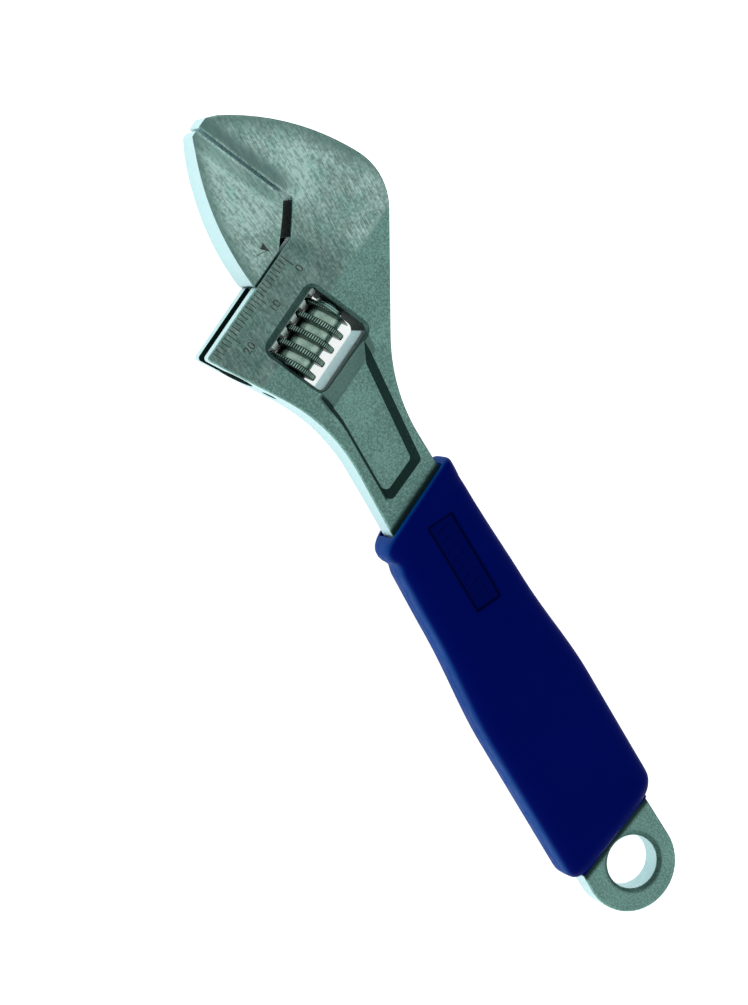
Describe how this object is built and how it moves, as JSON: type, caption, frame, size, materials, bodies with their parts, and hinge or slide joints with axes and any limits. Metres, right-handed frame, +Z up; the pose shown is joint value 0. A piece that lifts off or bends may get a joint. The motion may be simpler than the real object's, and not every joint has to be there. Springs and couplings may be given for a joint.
{
  "type": "adjustable wrench",
  "caption": "Adjustable open-end wrench: forged body with fixed jaw, sliding jaw driven by a worm on its rack, and a moulded grip sleeve with a hanging eye.",
  "frame": {"origin": "bottom centre of the bounding box, the wrench lying flat with its jaws nearly closed", "axes": "+X along the handle towards the jaws, +Y towards the movable jaw, +Z up through the thickness"},
  "size_m": [0.2, 0.0524, 0.014],
  "materials": {
    "forged_steel": "satin plated forging, belt-brushed faces on the head and blasted grain on the neck",
    "jaw_steel": "satin plated, brushed",
    "worm_steel": "satin plated, knurled crest",
    "pin_steel": "bright turned",
    "spring_steel": "drawn spring wire",
    "grip_vinyl": "navy blue moulded vinyl, semi-gloss"
  },
  "bodies": {
    "body": {"wrench_body": "forged_steel", "worm_pin": "pin_steel", "worm_spring": "spring_steel", "grip_sleeve": "grip_vinyl"},
    "jaw": {"movable_jaw": "jaw_steel"},
    "worm": {"worm": "worm_steel"}
  },
  "joints": [
    {"name": "jaw_slide", "type": "slide", "parent": "body", "child": "jaw", "axis": [-0.3827, 0.9239, 0], "range_m": [-0.00078, 0.0232]},
    {"name": "worm_spin", "type": "hinge", "parent": "body", "child": "worm", "pos_m": [0.04868, 0.00473, 0.007], "axis": [-0.3827, 0.9239, 0], "range_deg": [-2388.29, 82.23]}
  ],
  "couplings": [
    {"joint": "worm_spin", "follows": "jaw_slide", "rad_per_m": -1795.2}
  ]
}
